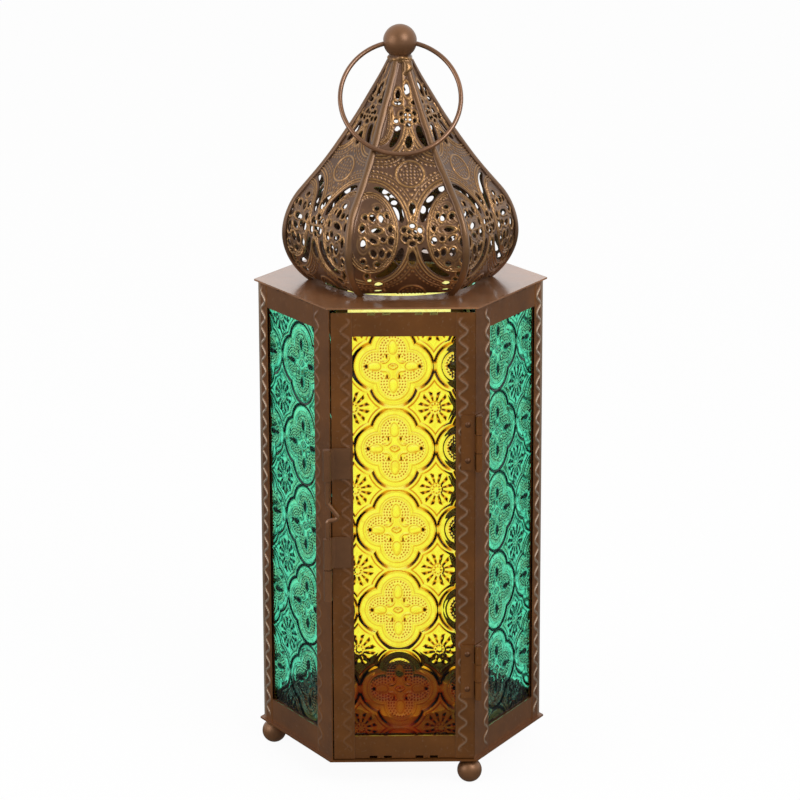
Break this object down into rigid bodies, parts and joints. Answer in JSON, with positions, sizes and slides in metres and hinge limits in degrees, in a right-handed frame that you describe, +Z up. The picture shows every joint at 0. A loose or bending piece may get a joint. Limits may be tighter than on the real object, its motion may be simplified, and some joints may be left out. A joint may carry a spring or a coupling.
{
  "type": "moroccan lantern",
  "caption": "Hexagonal Moroccan candle lantern of bronze-painted sheet with pressed coloured glass, a hinged door with a drop-pin latch, a pierced onion dome, ball feet and a carrying ring.",
  "frame": {"origin": "on the floor under the lantern's axis, between its three feet", "axes": "+Z up along the axis; the door faces -Y and is hinged on +X"},
  "size_m": [0.1018, 0.0911, 0.2596],
  "materials": {
    "bronze_sheet": "bronze-brown lacquered sheet, semi-gloss, gold showing at worn edges",
    "bronze_dome": "pierced and embossed bronze-brown sheet, semi-gloss",
    "bronze_wire": "bronze-brown lacquered wire and turned pieces, glossy",
    "amber_glass": "pressed amber glass with a raised flower pattern",
    "green_glass": "pressed sea-green glass with a raised flower pattern"
  },
  "bodies": {
    "frame": {"ball_finial": "bronze_sheet", "base_plate": "bronze_sheet", "bottom_rail_back": "bronze_sheet", "bottom_rail_back_left": "bronze_sheet", "bottom_rail_back_right": "bronze_sheet", "bottom_rail_front_left": "bronze_sheet", "bottom_rail_front_right": "bronze_sheet", "candle_cup": "bronze_sheet", "finial_neck": "bronze_sheet", "foot_back_right": "bronze_sheet", "foot_front_right": "bronze_sheet", "foot_left": "bronze_sheet", "glass_back": "amber_glass", "glass_back_left": "green_glass", "glass_back_right": "green_glass", "glass_front_left": "green_glass", "glass_front_right": "green_glass", "gore_back": "bronze_dome", "gore_back_left": "bronze_dome", "gore_back_right": "bronze_dome", "gore_front": "bronze_dome", "gore_front_left": "bronze_dome", "gore_front_right": "bronze_dome", "hinge_lower_post_leaf": "bronze_sheet", "hinge_pins": "bronze_wire", "hinge_upper_post_leaf": "bronze_sheet", "latch_keeper": "bronze_sheet", "post_back_left": "bronze_sheet", "post_back_right": "bronze_sheet", "post_front_left": "bronze_sheet", "post_front_right": "bronze_sheet", "post_left": "bronze_sheet", "post_right": "bronze_sheet", "rib_back_left": "bronze_sheet", "rib_back_right": "bronze_sheet", "rib_front_left": "bronze_sheet", "rib_front_right": "bronze_sheet", "rib_left": "bronze_sheet", "rib_right": "bronze_sheet", "top_plate": "bronze_sheet", "top_rail_back": "bronze_sheet", "top_rail_back_left": "bronze_sheet", "top_rail_back_right": "bronze_sheet", "top_rail_front_left": "bronze_sheet", "top_rail_front_right": "bronze_sheet"},
    "door": {"door_bottom_rail": "bronze_sheet", "door_glass": "amber_glass", "door_hinge_stile": "bronze_sheet", "door_latch_stile": "bronze_sheet", "door_top_rail": "bronze_sheet", "hinge_lower_door_leaf": "bronze_sheet", "hinge_rivets": "bronze_wire", "hinge_upper_door_leaf": "bronze_sheet", "latch_lower_sleeve": "bronze_sheet", "latch_upper_sleeve": "bronze_sheet"},
    "latch": {"latch_pin": "bronze_wire"},
    "ring": {"ring_handle": "bronze_wire"}
  },
  "joints": [
    {"name": "door_swing", "type": "hinge", "parent": "frame", "child": "door", "pos_m": [0.02587, -0.04482, 0], "axis": [0, 0, 1], "range_deg": [0, 210]},
    {"name": "latch_slide", "type": "slide", "parent": "door", "child": "latch", "axis": [0, 0, 1], "range_m": [-0.0052, 0]},
    {"name": "ring_swing", "type": "hinge", "parent": "frame", "child": "ring", "pos_m": [0, 0, 0.25324], "axis": [-1, 0, 0], "range_deg": [0, 296.4]}
  ]
}
